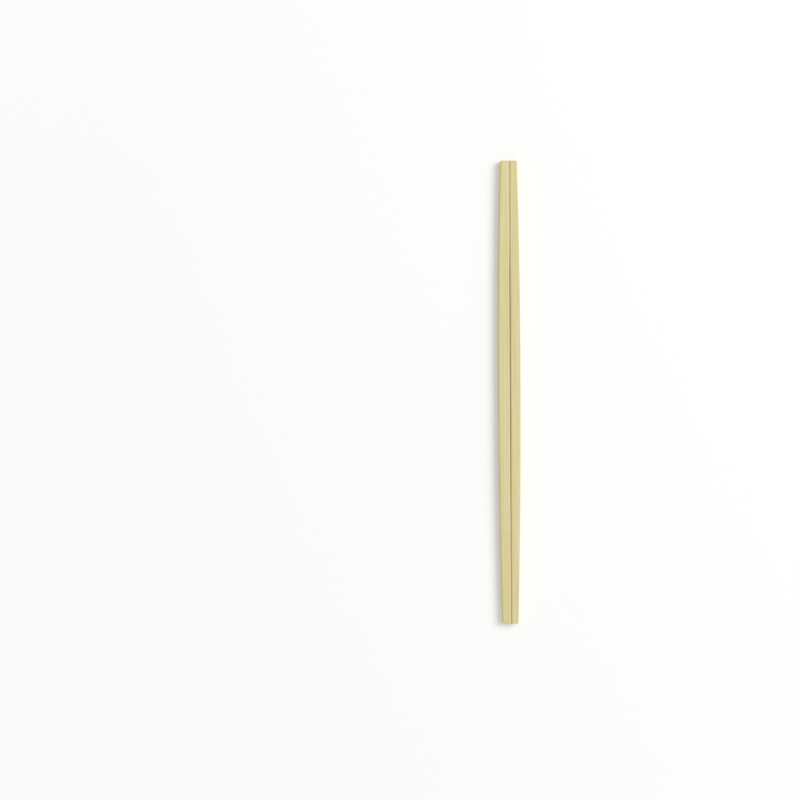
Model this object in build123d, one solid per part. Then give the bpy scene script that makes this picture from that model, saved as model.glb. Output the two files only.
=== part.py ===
"""A pair of disposable bamboo chopsticks, still joined at the head.

One slip of bamboo is milled to a slim spindle, grooved down the middle of
both broad faces, and slit from the tips towards the head. The two sticks
stay joined by the web that is left between the grooves at the head.

Lengths are in millimetres. The pair lies flat: Y runs along it with the head
at +Y, X runs across both sticks, and Z goes up from the surface under it.
"""

import os

from build123d import *

# Overall length, from the sawn head to the tips
LENGTH = 210.0

# Both sticks together, seen from above: they swell from the head to a
# parallel belly and draw in again towards the tips
HEAD_WIDTH = 7.5
BELLY_WIDTH = 9.9
TIPS_WIDTH = 7.1
HEAD_TAPER_LENGTH = 84.0
BELLY_LENGTH = 21.0

# The slip seen from the side: even through the middle, thinner at both ends
HEAD_THICKNESS = 4.5
MIDDLE_THICKNESS = 4.7
TIPS_THICKNESS = 4.3
HEAD_THINNING_LENGTH = 50.0
TIPS_THINNING_LENGTH = 60.0

# The edges round both broad faces are barely rounded. Seen from above, the
# corners are nearly square at the head and rounder at the tips
EDGE_RADIUS = 0.4
HEAD_CORNER_RADIUS = 0.45
TIPS_CORNER_RADIUS = 0.8

# The line along which the pair is broken apart lies a little off the middle,
# so that one stick is slightly wider than the other
SPLIT_OFFSET = 0.3

# V-shaped groove along that line, on both broad faces, end to end
GROOVE_WIDTH = 0.9
GROOVE_DEPTH = 0.55

# Slit along the same line. It starts from nothing, opens to its full width
# over a short stretch, and narrows again to the tips
SLIT_DISTANCE_FROM_HEAD = 36.0
SLIT_OPENING_LENGTH = 18.0
SLIT_WIDTH = 0.27
SLIT_TIPS_WIDTH = 0.07

# The faces, the groove and the slit run on past the ends this far before the
# slip is sawn to length
END_WASTE = 1.0

# A face whose normal rises or falls by less than this is a side or an end, and
# not a part of a broad face
UPRIGHT_WITHIN = 0.5

HEAD_Y = LENGTH / 2
TIPS_Y = -LENGTH / 2


def swelling_edge(head, middle, tips, head_run, tips_run, past_ends=0.0):
    """One long edge of a spindle, as curves through (distance out, Y).

    A straight stretch at the distance `middle` is joined to the distances
    `head` and `tips` at the two ends by arcs that are tangent to it. The arcs
    take up `head_run` and `tips_run` of the length. They may run on past the
    ends, and such flat arcs draw in with the square of their run.
    """
    head_reach = (head_run + past_ends) / head_run
    tips_reach = (tips_run + past_ends) / tips_run
    head_point = (middle + (head - middle) * head_reach**2, HEAD_Y + past_ends)
    tips_point = (middle + (tips - middle) * tips_reach**2, TIPS_Y - past_ends)
    straight = Line((middle, HEAD_Y - head_run), (middle, TIPS_Y + tips_run))
    head_arc = TangentArc(straight @ 0, head_point, tangent=(0, 1))
    tips_arc = TangentArc(straight @ 1, tips_point, tangent=(0, -1))
    return head_arc, straight, tips_arc


def edge_from_above():
    """The outer side's line, seen from above."""
    tips_taper_length = LENGTH - HEAD_TAPER_LENGTH - BELLY_LENGTH
    return swelling_edge(
        HEAD_WIDTH / 2, BELLY_WIDTH / 2, TIPS_WIDTH / 2, HEAD_TAPER_LENGTH, tips_taper_length
    )


def edge_from_side(past_ends=0.0):
    """The broad face's line, seen from the side."""
    return swelling_edge(
        HEAD_THICKNESS / 2,
        MIDDLE_THICKNESS / 2,
        TIPS_THICKNESS / 2,
        HEAD_THINNING_LENGTH,
        TIPS_THINNING_LENGTH,
        past_ends,
    )


def spindle(edge, half_height):
    """The solid between an edge and its mirror image, as high above as below."""
    head_arc, straight, tips_arc = edge
    one_side = Curve() + [head_arc, straight, tips_arc]
    other_side = one_side.mirror(Plane.YZ)
    head_end = Line(head_arc @ 1, (-(head_arc @ 1).X, (head_arc @ 1).Y))
    tips_end = Line(tips_arc @ 1, (-(tips_arc @ 1).X, (tips_arc @ 1).Y))
    outline = Curve() + [one_side, other_side, head_end, tips_end]
    return extrude(make_face(outline), amount=half_height, both=True)


def milled_blank():
    """The slip before it is grooved and slit, with its corners and edges rounded.

    It is the space that the outline seen from above and the one seen from the
    side have in common.
    """
    upright = spindle(edge_from_above(), MIDDLE_THICKNESS)
    tips_corners = upright.edges().filter_by(Axis.Z).group_by(Axis.Y)[0]
    upright = fillet(tips_corners, TIPS_CORNER_RADIUS)
    head_corners = upright.edges().filter_by(Axis.Z).group_by(Axis.Y)[-1]
    upright = fillet(head_corners, HEAD_CORNER_RADIUS)
    sideways = spindle(edge_from_side(END_WASTE), BELLY_WIDTH)
    blank = upright & sideways.rotate(Axis.Y, 90)
    walls = blank.faces().filter_by(lambda face: abs(face.normal_at().Z) < UPRIGHT_WITHIN)
    edges = walls.edges().filter_by(lambda edge: edge.bounding_box().size.Z < EDGE_RADIUS)
    return fillet(edges, EDGE_RADIUS)


def upper_groove():
    """The space inside the V-shaped groove of the upper face.

    The face's own line is dropped by the depth of the groove at the split
    line, and each wall of the V runs out and up from there. So the groove
    keeps its depth where the slip gets thinner.
    """
    head_arc, straight, tips_arc = edge_from_side(END_WASTE)
    above = MIDDLE_THICKNESS
    rim = Polyline(
        tips_arc @ 1,
        (above, (tips_arc @ 1).Y),
        (above, (head_arc @ 1).Y),
        head_arc @ 1,
    )
    over_face = make_face(Curve() + [head_arc, straight, tips_arc, rim])
    over_groove = Pos(SPLIT_OFFSET, 0, -GROOVE_DEPTH) * over_face.rotate(Axis.Y, -90)
    right_half = Solid.extrude(over_groove.face(), (GROOVE_WIDTH, 0, 2 * GROOVE_DEPTH))
    left_half = Solid.extrude(over_groove.face(), (-GROOVE_WIDTH, 0, 2 * GROOVE_DEPTH))
    return right_half + left_half


def slit():
    """The cut through the whole thickness: pointed at its root, widest soon after it."""
    root_y = HEAD_Y - SLIT_DISTANCE_FROM_HEAD
    full_y = root_y - SLIT_OPENING_LENGTH
    past_tips = TIPS_Y - END_WASTE
    outline = Polyline(
        (0, root_y),
        (SLIT_WIDTH / 2, full_y),
        (SLIT_TIPS_WIDTH / 2, TIPS_Y),
        (SLIT_TIPS_WIDTH / 2, past_tips),
        (-SLIT_TIPS_WIDTH / 2, past_tips),
        (-SLIT_TIPS_WIDTH / 2, TIPS_Y),
        (-SLIT_WIDTH / 2, full_y),
        close=True,
    )
    cut = extrude(make_face(outline), amount=MIDDLE_THICKNESS, both=True)
    return Pos(SPLIT_OFFSET, 0, 0) * cut


groove = upper_groove()
pair = milled_blank() - groove - groove.mirror(Plane.XY) - slit()
pair = Pos(0, 0, MIDDLE_THICKNESS / 2) * pair

os.makedirs("parts", exist_ok=True)
export_step(pair, "parts/chopstick_pair.step")
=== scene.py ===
import math

import bmesh
import bpy
import numpy as np
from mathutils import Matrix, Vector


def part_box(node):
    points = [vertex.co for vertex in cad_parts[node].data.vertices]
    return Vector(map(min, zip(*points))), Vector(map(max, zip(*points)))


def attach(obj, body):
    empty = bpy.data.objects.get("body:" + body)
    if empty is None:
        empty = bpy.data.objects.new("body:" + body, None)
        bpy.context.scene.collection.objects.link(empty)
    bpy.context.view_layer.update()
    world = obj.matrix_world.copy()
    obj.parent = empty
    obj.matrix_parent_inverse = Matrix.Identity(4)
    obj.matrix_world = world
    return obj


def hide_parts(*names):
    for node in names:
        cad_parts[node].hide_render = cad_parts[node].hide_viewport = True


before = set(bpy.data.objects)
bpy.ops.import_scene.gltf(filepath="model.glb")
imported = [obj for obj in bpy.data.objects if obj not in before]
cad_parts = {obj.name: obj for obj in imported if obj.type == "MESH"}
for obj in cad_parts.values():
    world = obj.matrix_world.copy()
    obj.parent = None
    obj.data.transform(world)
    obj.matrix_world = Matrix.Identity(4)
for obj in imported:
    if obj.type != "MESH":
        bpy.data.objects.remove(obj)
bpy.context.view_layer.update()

# The pair of sticks
# One slip of bamboo, planed on both broad faces and milled to a flat spindle.
# A V-shaped groove runs down the middle of each broad face, and a fine slit
# from the tips leaves the two sticks joined at the head.

X, Y, Z = range(3)
NODE = "chopstick_pair"
lowest, highest = (np.array(corner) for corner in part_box(NODE))
LENGTH = highest[Y] - lowest[Y]
BELLY_WIDTH = highest[X] - lowest[X]
MIDDLE_THICKNESS = highest[Z] - lowest[Z]
HEAD_WIDTH = 0.0075
TIPS_WIDTH = 0.0071
HEAD_TAPER_LENGTH = 0.084
BELLY_LENGTH = 0.021
HEAD_THICKNESS = 0.0045
TIPS_THICKNESS = 0.0043
HEAD_THINNING_LENGTH = 0.050
TIPS_THINNING_LENGTH = 0.060
EDGE_RADIUS = 0.0004
HEAD_CORNER_RADIUS = 0.00045
TIPS_CORNER_RADIUS = 0.0008
SPLIT_OFFSET = 0.0003
GROOVE_WIDTH = 0.0009
GROOVE_DEPTH = 0.00055
SLIT_DISTANCE_FROM_HEAD = 0.036
SLIT_OPENING_LENGTH = 0.018
SLIT_WIDTH = 0.00027
SLIT_TIPS_WIDTH = 0.00007

# The groove's shoulders are worn round. The wear reaches out over the broad
# face by a distance between these two, which drifts along the stick, and over
# the groove's wall by a share of that
SHOULDER_REACHES = (0.0003, 0.0007)
SHOULDER_DRIFT = 0.003
SHOULDER_WALL_SHARE = 0.35

HEAD_Y = highest[Y]
TIPS_Y = lowest[Y]
ROOT_Y = HEAD_Y - SLIT_DISTANCE_FROM_HEAD

# Steps of the mesh: across one stick, and along it
WALL_STEPS = 4
SHOULDER_STEPS = 8
FACE_STEPS = 30
EDGE_STEPS = 6
SIDE_STEPS = 12
SLIT_STEPS = 14
CAP_STEPS = 14
CORNER_STEPS = 8
ROW_SPACING = 0.0007


def swelling(y, head, middle, tips, head_run, tips_run):
    """Distance from the middle line to a spindle's edge at y.

    It is the middle distance between the two runs. Along each run it changes
    to the end's distance with the square of the way gone, as a flat arc does.
    """
    head_way = np.clip((y - (HEAD_Y - head_run)) / head_run, 0, 1)
    tips_way = np.clip(((TIPS_Y + tips_run) - y) / tips_run, 0, 1)
    return middle + (head - middle) * head_way**2 + (tips - middle) * tips_way**2


def half_width(y):
    """Half the width of both sticks: the swelling of the outline seen from above."""
    return swelling(
        y,
        HEAD_WIDTH / 2,
        BELLY_WIDTH / 2,
        TIPS_WIDTH / 2,
        HEAD_TAPER_LENGTH,
        LENGTH - HEAD_TAPER_LENGTH - BELLY_LENGTH,
    )


def half_thickness(y):
    """Half the thickness: the swelling of the outline seen from the side."""
    return swelling(
        y,
        HEAD_THICKNESS / 2,
        MIDDLE_THICKNESS / 2,
        TIPS_THICKNESS / 2,
        HEAD_THINNING_LENGTH,
        TIPS_THINNING_LENGTH,
    )


def slit_half_width(y):
    """Half the slit's width: a straight rise from its root, then a straight fall to the tips."""
    full_y = ROOT_Y - SLIT_OPENING_LENGTH
    opening = (ROOT_Y - y) / SLIT_OPENING_LENGTH
    closing = (full_y - y) / (full_y - TIPS_Y)
    falling = SLIT_WIDTH + (SLIT_TIPS_WIDTH - SLIT_WIDTH) * np.clip(closing, 0, 1)
    return falling * np.clip(opening, 0, 1) / 2


def stations():
    """Values of y from the tips to the head.

    They are evenly spaced with one at the slit's root, and in the two rounded
    ends they follow equal angles of the corner's quarter circle.
    """
    drop = 1 - np.cos(np.linspace(0, math.pi / 2, CORNER_STEPS + 1))
    tips = TIPS_Y + TIPS_CORNER_RADIUS * drop
    head = (HEAD_Y - HEAD_CORNER_RADIUS * drop)[::-1]
    slit_rows = round((ROOT_Y - tips[-1]) / ROW_SPACING)
    head_rows = round((head[0] - ROOT_Y) / ROW_SPACING)
    slit_part = np.linspace(tips[-1], ROOT_Y, slit_rows + 1)
    head_part = np.linspace(ROOT_Y, head[0], head_rows + 1)
    return np.concatenate([tips, slit_part[1:], head_part[1:], head[1:]])


def straight(start, end, steps):
    """Evenly spaced values from start, which is left out, to end, one row for each start."""
    return start[:, None] + (end - start)[:, None] * np.arange(1, steps + 1) / steps


def upper_profile(y, side, worn):
    """Upper half of one stick's section at each y, as offsets from the split line and heights.

    From the split line or the slit's lip it climbs the wall of the V at a
    constant slope, bends over the worn shoulder as a parabola, follows the
    broad face, turns down the edge as a quarter circle and drops to mid
    height. In the corner of an end the quarter circle turns about an upright
    arc, so a point at the angle a lies where the corner's circle, less the
    edge radius times one minus the sine of a, crosses y.
    """
    slope = GROOVE_DEPTH / (GROOVE_WIDTH / 2)
    from_end = np.minimum(HEAD_Y - y, y - TIPS_Y)
    corner = np.where(HEAD_Y - y < y - TIPS_Y, HEAD_CORNER_RADIUS, TIPS_CORNER_RADIUS)
    into_corner = np.maximum(corner - from_end, 0)
    first_sine = np.clip((into_corner - corner + EDGE_RADIUS) / EDGE_RADIUS, 0, 1)
    first_angle = np.arcsin(first_sine)[:, None]
    angle = first_angle + (math.pi / 2 - first_angle) * np.arange(EDGE_STEPS + 1) / EDGE_STEPS
    circle = corner[:, None] - EDGE_RADIUS * (1 - np.sin(angle))
    crossing = np.sqrt(np.maximum(circle**2 - into_corner[:, None] ** 2, 0))
    outer = half_width(y)[:, None] - corner[:, None] + crossing - side * SPLIT_OFFSET
    edge_height = half_thickness(y)[:, None] - EDGE_RADIUS * (1 - np.cos(angle))

    top = edge_height[:, 0]
    bottom_of_v = half_thickness(y) - GROOVE_DEPTH
    lip = slit_half_width(y)
    lip_height = np.minimum(bottom_of_v + slope * lip, top)
    arris = np.maximum((top - bottom_of_v) / slope, lip)
    wall_end = arris - np.minimum(SHOULDER_WALL_SHARE * worn, (arris - lip) / 2)
    wall_end_height = np.minimum(lip_height + slope * (wall_end - lip), top)
    face_start = arris + worn
    way = np.arange(1, SHOULDER_STEPS + 1) / SHOULDER_STEPS
    bend_out = wall_end[:, None] * (1 - way) ** 2 + 2 * arris[:, None] * way * (1 - way)
    bend_out += face_start[:, None] * way**2
    bend_up = wall_end_height[:, None] * (1 - way) ** 2 + top[:, None] * (1 - (1 - way) ** 2)
    flat = np.repeat(top[:, None], FACE_STEPS, 1)
    flank = np.repeat(outer[:, -1:], SIDE_STEPS, 1)
    mid_height = np.zeros(len(y))
    offsets = [lip[:, None], straight(lip, wall_end, WALL_STEPS), bend_out]
    offsets += [straight(face_start, outer[:, 0], FACE_STEPS), outer[:, 1:], flank]
    heights = [lip_height[:, None], straight(lip_height, wall_end_height, WALL_STEPS), bend_up]
    heights += [flat, edge_height[:, 1:], straight(edge_height[:, -1], mid_height, SIDE_STEPS)]
    return np.concatenate(offsets, 1), np.concatenate(heights, 1)


def stick_skin(y, side, worn):
    """Grid of one stick's surface: the upper profile at each y, and its mirror image below."""
    offsets, heights = upper_profile(y, side, worn)
    around = np.concatenate([offsets, offsets[:, -2::-1]], 1)
    up = np.concatenate([heights, -heights[:, -2::-1]], 1)
    across = SPLIT_OFFSET + side * around
    along = np.repeat(y[:, None], around.shape[1], 1)
    return np.stack([across, along, up + MIDDLE_THICKNESS / 2], -1)


def drawn_between(low, high, steps):
    """Grid of straight columns, each evenly divided, from a row of points to another one."""
    share = np.linspace(0, 1, steps + 1)[None, :, None]
    return low[:, None] + (high - low)[:, None] * share


def closed_end(loop, steps):
    """Grid that closes a loop of points: the loop shrunk evenly to the middle of its box."""
    middle = (loop.min(0) + loop.max(0)) / 2
    share = np.linspace(1, 0, steps + 1)[:, None, None]
    return middle + (loop - middle) * share


def grid_faces(grid, turned):
    """Corner numbers of the four-sided faces of a grid, the other way round if turned."""
    number = np.arange(grid.shape[0] * grid.shape[1]).reshape(grid.shape[:2])
    corners = [number[:-1, :-1], number[:-1, 1:], number[1:, 1:], number[1:, :-1]]
    if turned:
        corners = corners[::-1]
    return np.stack(corners, -1).reshape(-1, 4)


# A drifting value comes from random numbers along the stick. They lie this
# close, and go on past both ends until the bell curve has died out
KNOTS_PER_REACH = 2
REACHES_PAST_ENDS = 3


def drifting(y, rng, reach):
    """Smooth random value between 0 and 1 at each y.

    It is the mean of random numbers along y, weighted by a bell curve of the
    given reach, stretched to run from 0 to 1.
    """
    past_ends = REACHES_PAST_ENDS * reach
    knots = np.arange(TIPS_Y - past_ends, HEAD_Y + past_ends, reach / KNOTS_PER_REACH)
    weight = np.exp(-(((y[:, None] - knots) / reach) ** 2))
    value = weight @ rng.random(len(knots)) / weight.sum(1)
    return (value - value.min()) / (value.max() - value.min())


# Shallow furrows on the long faces, where the planing knife has torn soft
# tissue from between the fibres. There is one for each spacing of a face's
# width, and a normal that leans more than the limit is not on a face
FURROW_SPACING = 0.00005
FURROW_WIDTHS = (0.00008, 0.00018)
FURROW_REACHES = (0.002, 0.018)
FURROW_DEPTHS = (0.000004, 0.000018)
DEEPEST_FURROW = 0.00003
LEANING_LIMIT = 0.7


def furrow_depth(along, across, rng):
    """Depth of one long face's furrows at each of its points.

    A furrow is a bell curve at a random place, narrow across the fibres and
    long along them. Where furrows meet, their depths add up to a limit.
    """
    count = round(np.ptp(across) / FURROW_SPACING)
    place = rng.uniform(across.min(), across.max(), count)
    centre = rng.uniform(TIPS_Y, HEAD_Y, count)
    width = rng.uniform(*FURROW_WIDTHS, count)
    reach = rng.uniform(*FURROW_REACHES, count)
    deep = rng.uniform(*FURROW_DEPTHS, count)
    off = ((across[:, None] - place) / width) ** 2 + ((along[:, None] - centre) / reach) ** 2
    return np.minimum((deep * np.exp(-off)).sum(1), DEEPEST_FURROW)


def furrowed(points, normals, rng):
    """Points of the long faces moved inwards by the depth of the furrows.

    The depth fades out as the face bends into an edge, and the walls of the
    groove and the slit have none.
    """
    moved = points.copy()
    planed = np.abs(points[:, X] - SPLIT_OFFSET) > GROOVE_WIDTH / 2
    for facing, across in ((Z, X), (X, Z)):
        for side in (1, -1):
            level = (side * normals[:, facing] - LEANING_LIMIT) / (1 - LEANING_LIMIT)
            on_face = planed & (level > 0)
            depth = furrow_depth(points[on_face, Y], points[on_face, across], rng) * level[on_face]
            moved[on_face] -= normals[on_face] * depth[:, None]
    return moved


SEED = 8
SAME_POINT = 1e-7
CREASE = math.radians(35)

rng = np.random.default_rng(SEED)
y_rows = stations()
slit_rows = y_rows <= ROOT_Y
least_worn, most_worn = SHOULDER_REACHES
grids = []
for side in (-1, 1):
    worn = least_worn + (most_worn - least_worn) * drifting(y_rows, rng, SHOULDER_DRIFT)
    skin = stick_skin(y_rows, side, worn)
    wall = drawn_between(skin[slit_rows, -1], skin[slit_rows, 0], SLIT_STEPS)
    split = drawn_between(skin[-1:, -1], skin[-1:, 0], SLIT_STEPS)[0]
    tips_loop = np.concatenate([skin[0], wall[0, 1:]])
    head_loop = np.concatenate([skin[-1], split[1:]])
    mirrored = side < 0
    grids.append((skin, mirrored))
    grids.append((wall, mirrored))
    grids.append((closed_end(tips_loop, CAP_STEPS), not mirrored))
    grids.append((closed_end(head_loop, CAP_STEPS), mirrored))

points = np.concatenate([grid.reshape(-1, 3) for grid, turned in grids])
sizes = [grid.shape[0] * grid.shape[1] for grid, turned in grids]
starts = np.cumsum([0] + sizes[:-1])
corners = np.concatenate([grid_faces(*grid) + start for grid, start in zip(grids, starts)])
pair_mesh = bpy.data.meshes.new("bamboo_pair")
pair_mesh.from_pydata(points.tolist(), [], corners.tolist())

welded = bmesh.new()
welded.from_mesh(pair_mesh)
bmesh.ops.remove_doubles(welded, verts=welded.verts, dist=SAME_POINT)
welded.to_mesh(pair_mesh)
welded.free()

places = np.empty(len(pair_mesh.vertices) * 3, np.float32)
normals = np.empty_like(places)
pair_mesh.vertices.foreach_get("co", places)
pair_mesh.vertices.foreach_get("normal", normals)
places = furrowed(places.reshape(-1, 3), normals.reshape(-1, 3), rng)
pair_mesh.vertices.foreach_set("co", places.reshape(-1))
pair_mesh.shade_smooth()
pair_mesh.set_sharp_from_angle(angle=CREASE)
pair = bpy.data.objects.new("bamboo_pair", pair_mesh)
bpy.context.scene.collection.objects.link(pair)

# A noise's mean colour, and the numbers of a mix node's sockets for colours
MEAN_COLOUR = (0.5, 0.5, 0.5)
FIRST_COLOUR, SECOND_COLOUR, MIXED_COLOUR = 6, 7, 2


def add_node(tree, kind, inputs=(), **settings):
    """Adds a node, sets it up, and gives its sockets a value each or a link from a socket."""
    node = tree.nodes.new(kind)
    for name, value in settings.items():
        setattr(node, name, value)
    for name, value in dict(inputs).items():
        if isinstance(value, bpy.types.NodeSocket):
            tree.links.new(value, node.inputs[name])
        else:
            node.inputs[name].default_value = value
    return node


def calculated(tree, how, *operands):
    """One number worked out from others, as the math node of that name does."""
    return add_node(tree, "ShaderNodeMath", enumerate(operands), operation=how).outputs[0]


def stretched_noise(tree, place, per_mm, detail=2.0):
    """Noise over a place in mm, with the number of its blotches per mm for each direction."""
    factors = {0: place, 1: per_mm}
    stretched = add_node(tree, "ShaderNodeVectorMath", factors, operation="MULTIPLY").outputs[0]
    inputs = {"Vector": stretched, "Scale": 1, "Detail": detail}
    return add_node(tree, "ShaderNodeTexNoise", inputs)


def shifted(tree, place, noise, reach):
    """A place moved each way by half the reach at most, as the noise's colour says."""
    terms = {0: noise.outputs["Color"], 1: MEAN_COLOUR}
    centred = add_node(tree, "ShaderNodeVectorMath", terms, operation="SUBTRACT").outputs[0]
    inputs = {0: centred, 1: reach, 2: place}
    return add_node(tree, "ShaderNodeVectorMath", inputs, operation="MULTIPLY_ADD").outputs[0]


def ramp(tree, value, start, end, low=0.0, high=1.0, steps="LINEAR"):
    """Goes from low to high as the value goes from start to end, and no further."""
    inputs = {"Value": value, "From Min": start, "From Max": end, "To Min": low, "To Max": high}
    return add_node(tree, "ShaderNodeMapRange", inputs, interpolation_type=steps).outputs[0]


def times(tree, value, factor, plus=0.0):
    """The value times the factor, plus a third number."""
    return calculated(tree, "MULTIPLY_ADD", value, factor, plus)


def mixed(tree, share, first, second, how="MIX"):
    """The first colour where the share is 0, and the second mixed in where it is 1."""
    inputs = {0: share, FIRST_COLOUR: first, SECOND_COLOUR: second}
    mix = add_node(tree, "ShaderNodeMix", inputs, data_type="RGBA", blend_type=how)
    return mix.outputs[MIXED_COLOUR]


# Colours of the ground tissue, of the fibre bundles in it and of the thin
# vessel line in each bundle, on the long faces and on the sawn ends
CREAM = (0.738, 0.652, 0.388, 1)
GREEN_YELLOW = (0.700, 0.618, 0.258, 1)
BUNDLE_TAN = (0.600, 0.500, 0.225, 1)
VESSEL_BROWN = (0.330, 0.225, 0.090, 1)
END_GROUND = (0.640, 0.545, 0.300, 1)
END_BUNDLE = (0.470, 0.360, 0.165, 1)

# The fibres lean a little against the stick, and wander by up to half the
# reach, so the streaks are neither straight nor parallel. The lobes do the
# same on a small scale, so a bundle's outline is uneven. Reaches are in mm
MM_PER_METRE = 1000
FIBRE_LEAN = (math.radians(0.4), 0, math.radians(0.25))
WANDER_PER_MM = (0.12, 0.030, 0.12)
WANDER_REACH = (1.0, 0, 1.0)
LOBES_PER_MM = (9.0, 0.06, 9.0)
LOBES_REACH = (0.16, 0, 0.16)

# Bundles per mm at the underside, which lay towards the culm's skin, how much
# that changes with each mm up, and how far the bundles are from an even grid
CROWDING = 1.55
CROWDING_CHANGE = -0.06
DISORDER = 0.9

# Distances from a bundle's middle where the bundle and its vessel line begin
# and where they are full, as shares of the spacing. Each bundle's distances
# are first multiplied by its own slimness, which lies between these two
BUNDLE_EDGE = (0.36, 0.20)
VESSEL_EDGE = (0.12, 0.06)
BUNDLE_SLIMNESS = (0.75, 1.7)

# The broad noise leads from green-yellow to cream, the fading one makes the
# bundles come and go, and the fine one and the silk make each fibre darker or
# lighter. A noise does all of its work between the two values of its band
BROAD_PER_MM = (0.8, 0.014, 0.8)
BROAD_BAND = (0.36, 0.64)
FADING_PER_MM = (1.3, 0.060, 1.3)
FADING_BAND = (0.36, 0.62)
FADED_SHARES = (0.1, 1.0)
FINE_PER_MM = (7.0, 0.10, 7.0)
FINE_TONES = (0.965, 1.035)
SILK_PER_MM = (17.0, 0.30, 17.0)
SILK_TONES = (0.94, 1.06)
FIBRE_BAND = (0.3, 0.7)
STREAK_DETAIL = 3

# How much the bundles and the vessel lines show on the long faces. The fine
# noise breaks a vessel line up into dashes
BUNDLE_SHARE = 0.36
VESSEL_SHARE = 0.45
DASH_BAND = (0.40, 0.55)

# The sawn walls of the groove and the slit are a little browner, and the same
# tint also darkens them as painted shade in the groove. The tint begins just
# outside the groove's rim and is full well inside it, in mm
SAWN_BROWN_AND_SHADE_TINT = (0.980, 0.925, 0.870, 1)
TINT_OUTSIDE_RIM = 0.05
TINT_INSIDE_RIM = 0.20

# An end's colours begin where the normal leans this far along the stick, and
# are full where it leans that far
END_BAND = (0.6, 0.95)

# Roughness of the ground tissue and of the bundles. In the relief, the bundles
# stand up a little, and the saw has left lines across the ends
GROUND_TO_BUNDLE_ROUGHNESS = (0.54, 0.43)
BUNDLE_RELIEF = 0.6
SAW_MARKS_PER_MM = (0.5, 0.5, 7.0)
SAW_MARKS_RELIEF = 2.0
GRAIN_HEIGHT = 0.00002
BUMP_STRENGTH = 0.8

bamboo = bpy.data.materials.new("bamboo")
bamboo.use_nodes = True
tree = bamboo.node_tree
shader = tree.nodes["Principled BSDF"]
where = add_node(tree, "ShaderNodeTexCoord")
to_mm = {0: where.outputs["Object"], "Scale": MM_PER_METRE}
in_mm = add_node(tree, "ShaderNodeVectorMath", to_mm, operation="SCALE").outputs[0]
leaned = add_node(tree, "ShaderNodeMapping", {"Vector": in_mm, "Rotation": FIBRE_LEAN}).outputs[0]
wander = stretched_noise(tree, in_mm, WANDER_PER_MM)
fibre_place = shifted(tree, leaned, wander, WANDER_REACH)

lobes = stretched_noise(tree, fibre_place, LOBES_PER_MM)
lobed_place = shifted(tree, fibre_place, lobes, LOBES_REACH)
section = add_node(tree, "ShaderNodeSeparateXYZ", {0: lobed_place})
crowding = times(tree, section.outputs["Z"], CROWDING_CHANGE, CROWDING)
cell_x = times(tree, section.outputs["X"], crowding)
cell_z = times(tree, section.outputs["Z"], crowding)
cell = add_node(tree, "ShaderNodeCombineXYZ", {"X": cell_x, "Y": cell_z})
cell_grid = {"Vector": cell.outputs[0], "Scale": 1, "Randomness": DISORDER}
bundles = add_node(tree, "ShaderNodeTexVoronoi", cell_grid, voronoi_dimensions="2D")
slimness = ramp(tree, bundles.outputs["Color"], 0, 1, *BUNDLE_SLIMNESS)
from_bundle = times(tree, bundles.outputs["Distance"], slimness)
bundle = ramp(tree, from_bundle, *BUNDLE_EDGE, steps="SMOOTHSTEP")
vessel = ramp(tree, from_bundle, *VESSEL_EDGE, steps="SMOOTHSTEP")

broad = stretched_noise(tree, fibre_place, BROAD_PER_MM, STREAK_DETAIL)
fading = stretched_noise(tree, fibre_place, FADING_PER_MM)
fine = stretched_noise(tree, fibre_place, FINE_PER_MM, STREAK_DETAIL)
silk = stretched_noise(tree, fibre_place, SILK_PER_MM, STREAK_DETAIL)
ground = mixed(tree, ramp(tree, broad.outputs["Fac"], *BROAD_BAND), GREEN_YELLOW, CREAM)
fine_tone = ramp(tree, fine.outputs["Fac"], *FIBRE_BAND, *FINE_TONES)
silk_tone = ramp(tree, silk.outputs["Fac"], *FIBRE_BAND, *SILK_TONES)
tone = {0: ground, "Scale": times(tree, silk_tone, fine_tone)}
toned = add_node(tree, "ShaderNodeVectorMath", tone, operation="SCALE").outputs[0]
shown = ramp(tree, fading.outputs["Fac"], *FADING_BAND, *FADED_SHARES)
bundle_shown = times(tree, bundle, shown)
with_bundles = mixed(tree, times(tree, bundle_shown, BUNDLE_SHARE), toned, BUNDLE_TAN)
dashes = times(tree, vessel, ramp(tree, fine.outputs["Fac"], *DASH_BAND))
with_vessels = mixed(tree, times(tree, dashes, VESSEL_SHARE), with_bundles, VESSEL_BROWN)

over = add_node(tree, "ShaderNodeSeparateXYZ", {0: in_mm})
off_line = calculated(tree, "SUBTRACT", over.outputs["X"], SPLIT_OFFSET * MM_PER_METRE)
beside = calculated(tree, "ABSOLUTE", off_line)
rim = GROOVE_WIDTH * MM_PER_METRE / 2
# Share of the tint on the groove's and the slit's walls: browner sawn fibre, and painted shade in
# the recess
sawn_and_shaded = ramp(tree, beside, rim + TINT_OUTSIDE_RIM, rim - TINT_INSIDE_RIM)
long_faces = mixed(tree, sawn_and_shaded, with_vessels, SAWN_BROWN_AND_SHADE_TINT, "MULTIPLY")

facing = add_node(tree, "ShaderNodeSeparateXYZ", {0: where.outputs["Normal"]})
lengthwise = calculated(tree, "ABSOLUTE", facing.outputs["Y"])
end_cut = ramp(tree, lengthwise, *END_BAND, steps="SMOOTHSTEP")
end_bundles = mixed(tree, bundle, END_GROUND, END_BUNDLE)
end_faces = mixed(tree, vessel, end_bundles, VESSEL_BROWN)
colour = mixed(tree, end_cut, long_faces, end_faces)
tree.links.new(colour, shader.inputs["Base Color"])

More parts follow.
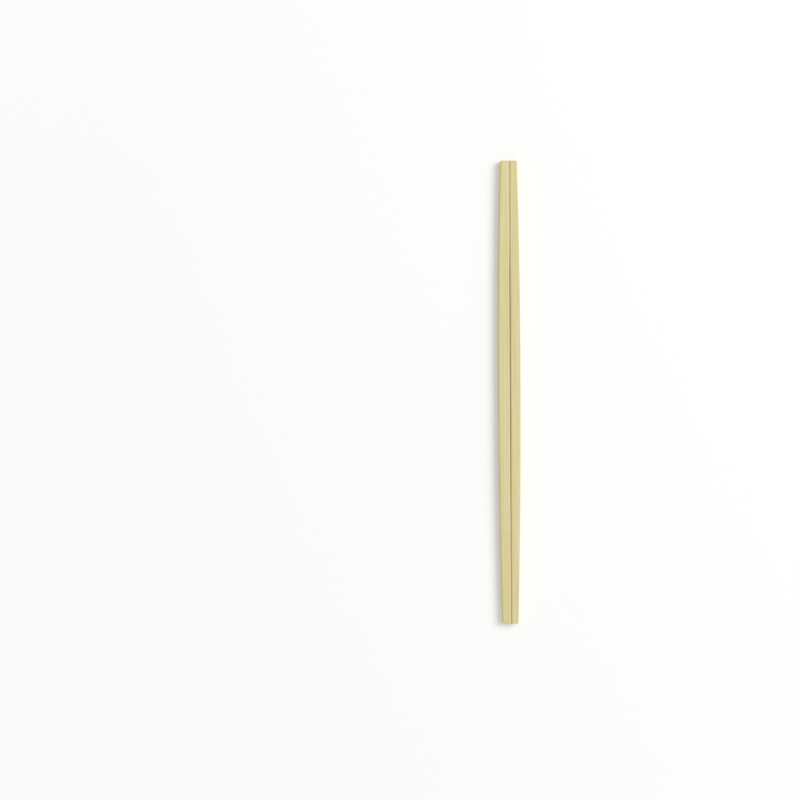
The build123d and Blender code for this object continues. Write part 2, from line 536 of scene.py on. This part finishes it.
roughness = ramp(tree, bundle_shown, 0, 1, *GROUND_TO_BUNDLE_ROUGHNESS)
tree.links.new(roughness, shader.inputs["Roughness"])
saw_marks = stretched_noise(tree, in_mm, SAW_MARKS_PER_MM).outputs["Fac"]
grain = times(tree, bundle_shown, BUNDLE_RELIEF, fine.outputs["Fac"])
relief = times(tree, times(tree, saw_marks, end_cut), SAW_MARKS_RELIEF, grain)
bumps = {"Height": relief, "Distance": GRAIN_HEIGHT, "Strength": BUMP_STRENGTH}
bump = add_node(tree, "ShaderNodeBump", bumps)
tree.links.new(bump.outputs[0], shader.inputs["Normal"])

pair.data.materials.append(bamboo)
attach(pair, "root")
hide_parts(NODE)

# The surface that the pair lies on
# A sheet of matt white studio paper, much larger than the picture. It keeps
# the soft shadow round the pair, and further away it is seen as plain white.

FLOOR_REACH = 6.0
PAPER_DROP = 0.00002
PAPER_WHITE = (0.88, 0.88, 0.88, 1)
PAPER_GLOW = 0.15
PLAIN_WHITE = 1.0

# Distances from the pair's middle: the paper is seen as it is lit up to the
# first one, and as plain white from the second one on
SHADOW_REACH = 0.16
WHITE_FROM = 0.50

floor_mesh = bpy.data.meshes.new("paper_sheet")
floor_x, floor_y = np.meshgrid([-FLOOR_REACH, FLOOR_REACH], [-FLOOR_REACH, FLOOR_REACH])
floor_grid = np.stack([floor_x, floor_y, np.full_like(floor_x, -PAPER_DROP)], -1)
floor_faces = grid_faces(floor_grid, False)
floor_mesh.from_pydata(floor_grid.reshape(-1, 3).tolist(), [], floor_faces.tolist())
floor = bpy.data.objects.new("paper_sheet", floor_mesh)
bpy.context.scene.collection.objects.link(floor)


def looked_at(tree):
    """Socket that is 1 for camera, glossy and transmission rays, and 0 for the rest."""
    rays = add_node(tree, "ShaderNodeLightPath").outputs
    direct = calculated(tree, "MAXIMUM", rays["Is Camera Ray"], rays["Is Glossy Ray"])
    return calculated(tree, "MAXIMUM", direct, rays["Is Transmission Ray"])


paper = bpy.data.materials.new("paper")
paper.use_nodes = True
paper_tree = paper.node_tree
matt = paper_tree.nodes["Principled BSDF"]
matt.inputs["Base Color"].default_value = PAPER_WHITE
matt.inputs["Roughness"].default_value = 1.0
matt.inputs["Specular IOR Level"].default_value = 0.0
looked = looked_at(paper_tree)
glow_strength = times(paper_tree, looked, PAPER_GLOW)
glow = add_node(paper_tree, "ShaderNodeEmission", {"Strength": glow_strength}).outputs[0]
near_paper = add_node(paper_tree, "ShaderNodeAddShader", {0: matt.outputs[0], 1: glow}).outputs[0]
on_paper = {0: add_node(paper_tree, "ShaderNodeTexCoord").outputs["Object"]}
from_pair = add_node(paper_tree, "ShaderNodeVectorMath", on_paper, operation="LENGTH")
distance = from_pair.outputs["Value"]
farness = ramp(paper_tree, distance, SHADOW_REACH, WHITE_FROM, steps="SMOOTHSTEP")
white = add_node(paper_tree, "ShaderNodeEmission", {"Strength": PLAIN_WHITE}).outputs[0]
near_to_far = {0: times(paper_tree, farness, looked), 1: near_paper, 2: white}
seen_paper = add_node(paper_tree, "ShaderNodeMixShader", near_to_far)
paper_tree.links.new(seen_paper.outputs[0], paper_tree.nodes["Material Output"].inputs["Surface"])
floor.data.materials.append(paper)

# The light
# A bright, even studio: soft light from all around, and one large softbox
# above and to the right, towards the head.

# What the two give, as shares of the light that makes white paper pure white
ROOM_SHARE = 0.53
SOFTBOX_SHARE = 0.47
SOFTBOX_PLACE = np.array([1.75, 0.80, 2.55])
SOFTBOX_SIDE = 2.0
ROOM_WHITE = (1, 1, 1, 1)

room = bpy.data.worlds.new("studio_room")
bpy.context.scene.world = room
room.use_nodes = True
room_tree = room.node_tree
room_light = room_tree.nodes["Background"]
room_light.inputs["Color"].default_value = ROOM_WHITE
room_strength = ramp(room_tree, looked_at(room_tree), 0, 1, ROOM_SHARE, PLAIN_WHITE)
room_tree.links.new(room_strength, room_light.inputs["Strength"])

# A level sheet gets from a distant lamp its power times its height, over pi
# times the cube of its distance. An ideal white one is pure white once it gets pi
softbox_data = bpy.data.lights.new("softbox", "AREA")
softbox_data.shape = "SQUARE"
softbox_data.size = SOFTBOX_SIDE
softbox_distance = float(np.linalg.norm(SOFTBOX_PLACE))
softbox_height = float(SOFTBOX_PLACE[Z])
softbox_data.energy = SOFTBOX_SHARE * math.pi**2 * softbox_distance**3 / softbox_height
softbox = bpy.data.objects.new("softbox", softbox_data)
softbox.location = SOFTBOX_PLACE
softbox_lean = math.atan2(math.hypot(SOFTBOX_PLACE[X], SOFTBOX_PLACE[Y]), softbox_height)
softbox_turn = math.atan2(SOFTBOX_PLACE[Y], SOFTBOX_PLACE[X]) + math.pi / 2
softbox.rotation_euler = (softbox_lean, 0, softbox_turn)
bpy.context.scene.collection.objects.link(softbox)

# The camera
# It looks straight down, from over a point to the left of the pair, as the
# photograph was taken.

PICTURE_PIXELS = 800
PIXEL_SIZE = 0.0004531
PICTURE_CENTRE = (-0.049717, -0.0033)
PICTURE_TURN = math.radians(-0.27)
FOCAL_LENGTH = 85
SENSOR_WIDTH = 36

camera_data = bpy.data.cameras.new("camera")
camera_data.lens = FOCAL_LENGTH
camera_data.sensor_width = SENSOR_WIDTH
camera = bpy.data.objects.new("camera", camera_data)
camera_distance = PICTURE_PIXELS * PIXEL_SIZE * FOCAL_LENGTH / SENSOR_WIDTH
camera.location = (*PICTURE_CENTRE, camera_distance + MIDDLE_THICKNESS)
camera.rotation_euler = (0, 0, PICTURE_TURN)
bpy.context.scene.collection.objects.link(camera)
bpy.context.scene.camera = camera
bpy.context.scene.view_settings.view_transform = "Standard"
